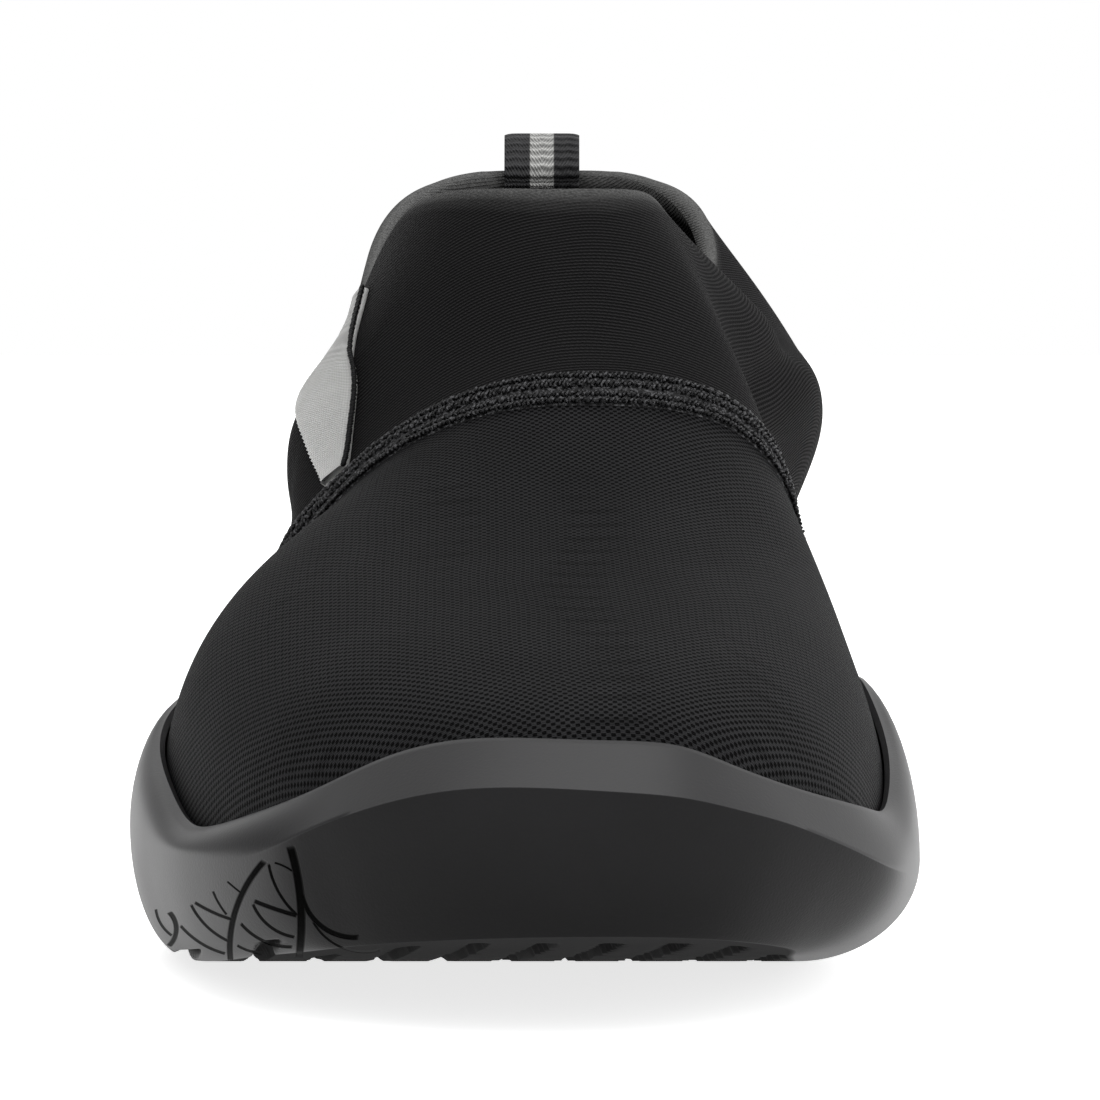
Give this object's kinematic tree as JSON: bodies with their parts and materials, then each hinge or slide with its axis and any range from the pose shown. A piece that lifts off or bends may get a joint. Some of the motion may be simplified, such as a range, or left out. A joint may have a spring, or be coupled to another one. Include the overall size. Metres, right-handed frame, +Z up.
{
  "type": "water shoe",
  "caption": "Slip-on water shoe with a moulded rubber sole tray, a mesh vamp, a neoprene collar and a webbing pull loop at the heel.",
  "frame": {"origin": "on the floor, under the middle of the shoe's outline", "axes": "+Y from the toe to the heel, +X to the medial side, +Z up"},
  "size_m": [0.1073, 0.288, 0.1138],
  "materials": {
    "sole_rubber": "moulded matt black rubber with a soft sheen",
    "insole_foam": "cloth-faced foam",
    "upper_cloth": "black knitted mesh in front, jersey-faced neoprene behind",
    "seam_thread": "black two-row cover stitch",
    "side_tape": "light grey ribbed woven tape",
    "loop_webbing": "black webbing with a grey middle stripe"
  },
  "bodies": {
    "root": {"sole": "sole_rubber", "insole": "insole_foam", "upper": "upper_cloth", "vamp_seam": "seam_thread", "side_tab": "side_tape", "pull_loop": "loop_webbing"}
  },
  "joints": []
}
